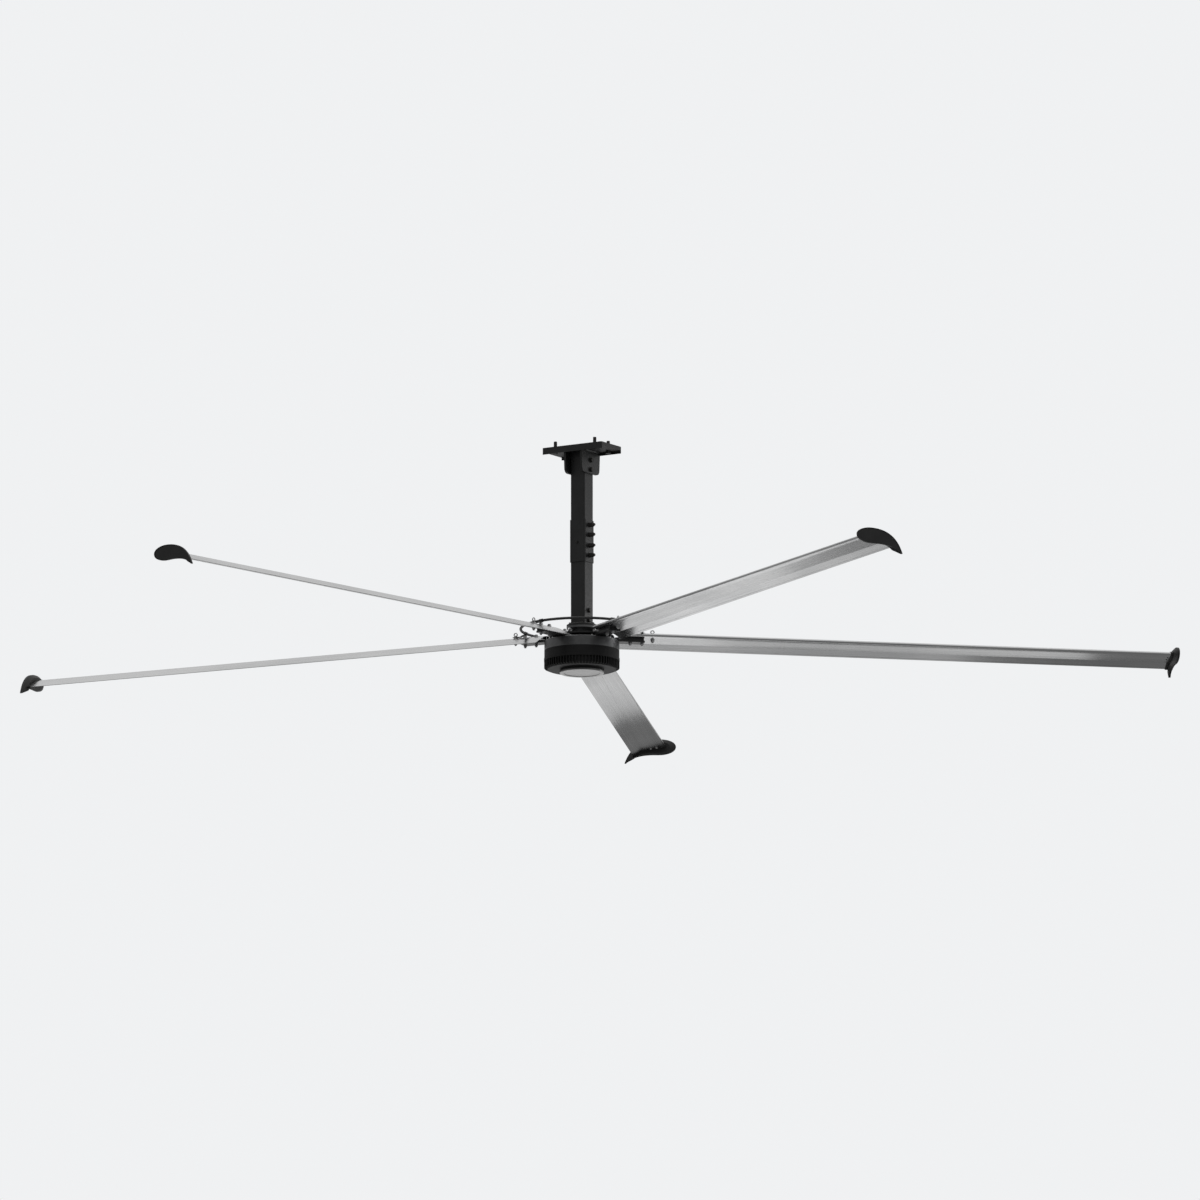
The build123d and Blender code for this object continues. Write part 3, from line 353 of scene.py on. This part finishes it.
def seal_rubber():
    """Matt black rubber with a faint mould skin."""
    material, tree, shader = finish_material("seal_rubber_skin", metallic=0.0, specular=0.3)
    grain = noise(tree, coordinates(tree), scale=380.0)
    colour = colours(tree, grain, dark=grey(0.012), light=grey(0.020))
    roughness = between(tree, grain, low=0.60, high=0.80)
    normal = bump(tree, grain, strength=0.15, distance=0.0004)
    connect(tree, shader, colour, roughness, normal)
    return material


def make_looks():
    """The material of each slot that the record names. Blades get their own."""
    return {
        "black_paint": powder_coat(),
        "black_casting": black_casting(),
        "hub_casting": hub_metal(),
        "zinc_steel": plate_metal(
            "zinc_plate", dark=grey(0.46, -0.02), light=grey(0.62, 0.01), smooth=0.24, rough=0.38
        ),
        "black_steel": black_fastener(),
        "aluminium": plate_metal(
            "milled_aluminium", dark=grey(0.50), light=grey(0.62), smooth=0.30, rough=0.42
        ),
        "winglet_plastic": moulded_plastic(),
        "bearing_steel": plate_metal(
            "ground_steel", dark=grey(0.56), light=grey(0.64), smooth=0.12, rough=0.20
        ),
        "core_steel": laminations(),
        "coil_copper": coil_wire(),
        "magnet_nickel": plate_metal(
            "nickel_plate", dark=grey(0.48, 0.04), light=grey(0.58, 0.03), smooth=0.20, rough=0.30
        ),
        "seal_rubber": seal_rubber(),
        "bright_trim": turned_disc(),
    }


def dress_solids(looks):
    """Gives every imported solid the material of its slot, and each blade its own."""
    for solid in frame["nodes"].values():
        slot = solid.material_slots[0].material.name
        if slot in looks:
            solid.material_slots[0].material = looks[slot]
    for number in range(1, blade_count + 1):
        frame["nodes"][f"blade_{number}"].material_slots[0].material = blade_metal(number)


# Added pieces

def piece(name, mesh, material, body):
    """Makes a mesh into a piece that rides on a body."""
    data = bpy.data.meshes.new(name)
    bmesh.ops.recalc_face_normals(mesh, faces=mesh.faces)
    mesh.to_mesh(data)
    mesh.free()
    data.materials.append(material)
    made = bpy.data.objects.new(name, data)
    bpy.context.scene.collection.objects.link(made)
    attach(made, body)


def loft(mesh, outlines):
    """Faces between each closed outline and the next, and a face on each end."""
    rows = [[mesh.verts.new(point) for point in outline] for outline in outlines]
    count = len(rows[0])
    for row, after in zip(rows, rows[1:]):
        for place in range(count):
            corner = (place + 1) % count
            mesh.faces.new((row[place], row[corner], after[corner], after[place]))
    mesh.faces.new(rows[0])
    mesh.faces.new(reversed(rows[-1]))


def thread(mesh, radius, pitch, start, end):
    """A helical ridge on a bolt's shank, from one point on its axis to another."""
    axis = (end - start).normalized()
    side = axis.orthogonal().normalized()
    other = axis.cross(side)
    steps = int((end - start).length / pitch * thread_steps)
    outlines = []
    for step in range(steps + 1):
        angle = 2 * math.pi * step / thread_steps
        out = side * math.cos(angle) + other * math.sin(angle)
        middle = start + axis * (pitch * (0.5 + step / thread_steps))
        fade = min(1.0, step / thread_steps, (steps - step) / thread_steps)
        outlines.append([
            middle - axis * pitch * thread_foot + out * (radius - thread_sink),
            middle + out * (radius + thread_height * fade),
            middle + axis * pitch * thread_foot + out * (radius - thread_sink),
        ])
    loft(mesh, outlines)


def ceiling_bolt_threads(material):
    """Threads on the bolts that stand up out of the bracket's plate."""
    mesh = bmesh.new()
    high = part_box("ceiling_bolts")[1].z
    for x in (-ceiling_bolt_reach_x, ceiling_bolt_reach_x):
        for y in (-ceiling_bolt_reach_y, ceiling_bolt_reach_y):
            end = Vector((x, y, high - bare_turns * m20_pitch))
            thread(mesh, m20_radius, m20_pitch, Vector((x, y, 0)), end)
    piece("ceiling_bolt_threads", mesh, material, "mast")


def mast_bolt_threads(material):
    """Threads on the bolt ends that stick out of their nuts, across the mast."""
    mesh = bmesh.new()
    ends = [("sleeve_bolts", 1, blade_plane + rise) for rise in sleeve_bolt_rises]
    ends += [("foot_bolts", -1, blade_plane + rise) for rise in foot_bolt_rises]
    ends += [("bracket_bolts", -1, plate_low - drop) for drop in bracket_bolt_drops]
    for node, side, height in ends:
        low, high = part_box(node)
        tip = Vector((high.x if side > 0 else low.x, 0, height))
        inward = Vector((-side, 0, 0))
        start = tip + inward * threaded_end
        end = tip + inward * bare_turns * m16_pitch
        thread(mesh, m16_radius, m16_pitch, start, end)
    piece("mast_bolt_threads", mesh, material, "mast")


def weld_bead(mesh, start, end, along_plate):
    """A rippled bead in the corner under the plate, from start to end, that reaches along the plate."""
    length = (end - start).length
    steps = int(length / weld_step)
    outlines = []
    for step in range(steps + 1):
        corner = start.lerp(end, step / steps)
        fade = min(1.0, weld_end_share + min(step, steps - step) * weld_growth)
        ripple = abs(math.sin(math.pi * step * length / steps / weld_ripple))
        leg = weld_leg * fade * (1 - weld_ripple_depth * ripple)
        face = [corner + along_plate * leg * out - Vector((0, 0, leg * down)) for out, down in weld_face]
        outlines.append(face + [corner])
    loft(mesh, outlines)


def bracket_welds(material):
    """Beads along both sides of each cheek, broken where the mast stands between the cheeks."""
    mesh = bmesh.new()
    end = cheek_half_width - weld_end_gap
    near = mast_half_side + weld_mast_gap
    for side in (-1, 1):
        outward = Vector((side, 0, 0))
        outer = side * cheek_outside
        inner = side * cheek_inside
        weld_bead(mesh, Vector((outer, -end, plate_low)), Vector((outer, end, plate_low)), outward)
        weld_bead(mesh, Vector((inner, -end, plate_low)), Vector((inner, -near, plate_low)), -outward)
        weld_bead(mesh, Vector((inner, near, plate_low)), Vector((inner, end, plate_low)), -outward)
    piece("bracket_welds", mesh, material, "mast")


# Camera, lamps and room

def make_camera():
    """The photograph's parallel view from below."""
    data = bpy.data.cameras.new("camera")
    data.type = "ORTHO"
    data.ortho_scale = image_side * pixel
    camera = bpy.data.objects.new("camera", data)
    bpy.context.scene.collection.objects.link(camera)
    right = (image_side / 2 - axis_pixel[0]) * pixel
    up = (axis_pixel[1] - image_side / 2) * pixel
    camera.location = hub_centre + view_right * right + view_up * up - view_forward * camera_distance
    camera.rotation_mode = "QUATERNION"
    camera.rotation_quaternion = view_forward.to_track_quat("-Z", "Y")
    bpy.context.scene.camera = camera


def ray_is(tree, *kinds):
    """1 for rays of the named kinds and 0 for the rest."""
    path = tree.nodes.new("ShaderNodeLightPath")
    answer = path.outputs[f"Is {kinds[0]} Ray"]
    for kind in kinds[1:]:
        either = add(tree, "ShaderNodeMath", Value=answer)
        either.operation = "MAXIMUM"
        tree.links.new(path.outputs[f"Is {kind} Ray"], either.inputs[1])
        answer = either.outputs[0]
    return answer


def mix(tree, share, first, second):
    """One shader, and by a share of 0 to 1 another."""
    choice = add(tree, "ShaderNodeMixShader", Fac=share)
    tree.links.new(first.outputs[0], choice.inputs[1])
    tree.links.new(second.outputs[0], choice.inputs[2])
    return choice


def along(tree, ray, direction, low, high, start=-1):
    """Goes from a low to a high number as a ray turns to a direction. It starts at -1 for a ray
    against the direction, or at another cosine of the angle between them."""
    part = add(tree, "ShaderNodeVectorMath", Vector=ray)
    part.operation = "DOT_PRODUCT"
    part.inputs[1].default_value = direction
    return between(tree, part.outputs["Value"], low, high, start, end=1)


def total(tree, values):
    """The sum of some numbers, held between 0 and 1."""
    answer = values[0]
    for value in values[1:]:
        node = add(tree, "ShaderNodeMath", Value=answer)
        node.operation = "ADD"
        node.use_clamp = True
        tree.links.new(value, node.inputs[1])
        answer = node.outputs[0]
    return answer


def make_world():
    """A pale world that lights the fan evenly. What the fan mirrors is darker near the camera and on
    the left, and brightest overhead."""
    world = bpy.data.worlds.new("studio")
    bpy.context.scene.world = world
    world.use_nodes = True
    tree = world.node_tree
    tree.nodes.clear()
    ray = tree.nodes.new("ShaderNodeTexCoord").outputs["Generated"]
    level = total(tree, [
        along(tree, ray, view_forward, mirrored_front, mirrored_back),
        along(tree, ray, view_right, -mirrored_side, mirrored_side),
        along(tree, ray, straight_up, 0, mirrored_sky, mirrored_sky_start),
    ])
    lighting = add(tree, "ShaderNodeBackground", Color=grey(1.0), Strength=world_light)
    mirrored = add(tree, "ShaderNodeBackground", Color=grey(1.0), Strength=level)
    shown = add(tree, "ShaderNodeBackground", Color=pale, Strength=1.0)
    indirect = mix(tree, ray_is(tree, "Glossy"), lighting, mirrored)
    choice = mix(tree, ray_is(tree, "Camera", "Transmission"), indirect, shown)
    output = tree.nodes.new("ShaderNodeOutputWorld")
    tree.links.new(choice.outputs[0], output.inputs[0])


def floor_material():
    """Pale and plain, with a glow of its own for the camera and a duller one for what mirrors it."""
    material, tree, shader = finish_material("pale_floor", metallic=0.0)
    shader.inputs["Base Color"].default_value = pale
    shader.inputs["Roughness"].default_value = floor_roughness
    share = add(tree, "ShaderNodeMath", Value=ray_is(tree, "Camera", "Transmission"))
    share.operation = "MULTIPLY"
    share.inputs[1].default_value = floor_glow
    glow = add(tree, "ShaderNodeEmission", Color=pale, Strength=1.0)
    mirrored = add(tree, "ShaderNodeEmission", Color=grey(1.0), Strength=mirrored_floor)
    seen = mix(tree, share.outputs[0], shader, glow)
    choice = mix(tree, ray_is(tree, "Glossy"), seen, mirrored)
    tree.links.new(choice.outputs[0], tree.nodes["Material Output"].inputs["Surface"])
    return material


def make_floor():
    """A plain pale floor far below the fan."""
    mesh = bmesh.new()
    bmesh.ops.create_grid(mesh, x_segments=1, y_segments=1, size=floor_half_side)
    data = bpy.data.meshes.new("floor")
    mesh.to_mesh(data)
    mesh.free()
    data.materials.append(floor_material())
    floor = bpy.data.objects.new("floor", data)
    floor.location = (0, 0, floor_height)
    bpy.context.scene.collection.objects.link(floor)


def soft_light(name, place, width, height, glow):
    """A soft lamp that points at the hub. Its place counts from the hub: right, level away and up."""
    data = bpy.data.lights.new(name, "AREA")
    data.shape = "RECTANGLE"
    data.size = width
    data.size_y = height
    data.energy = glow * math.pi * width * height
    lamp = bpy.data.objects.new(name, data)
    bpy.context.scene.collection.objects.link(lamp)
    right, away, rise = place
    offset = view_right * right + level_away * away + Vector((0, 0, rise))
    lamp.location = hub_centre + offset
    lamp.rotation_mode = "QUATERNION"
    lamp.rotation_quaternion = (-offset).to_track_quat("-Z", "Y")
    lamp.visible_camera = False


def make_lamps():
    """Five soft lamps. In the photograph's view, the three blades on the right mirror the first three
    lamps, and darken towards their tips where those lamps end."""
    soft_light("back_light", place=(0.1, 2.8, -0.79), width=6.0, height=1.36, glow=0.52)
    soft_light("low_light", place=(-0.1, 2.75, -2.25), width=2.0, height=1.3, glow=0.95)
    soft_light("under_light", place=(0.0, 1.6, -3.0), width=5.4, height=1.3, glow=0.40)
    soft_light("right_light", place=(5.0, 2.5, 0.2), width=2.0, height=2.0, glow=2.0)
    soft_light("top_light", place=(-2.0, -1.0, 7.0), width=6.0, height=6.0, glow=0.75)


make_camera()
make_world()
make_floor()
make_lamps()
looks = make_looks()
dress_solids(looks)
ceiling_bolt_threads(looks["black_steel"])
mast_bolt_threads(looks["black_steel"])
bracket_welds(looks["black_paint"])

bpy.context.scene.view_settings.view_transform = "Standard"
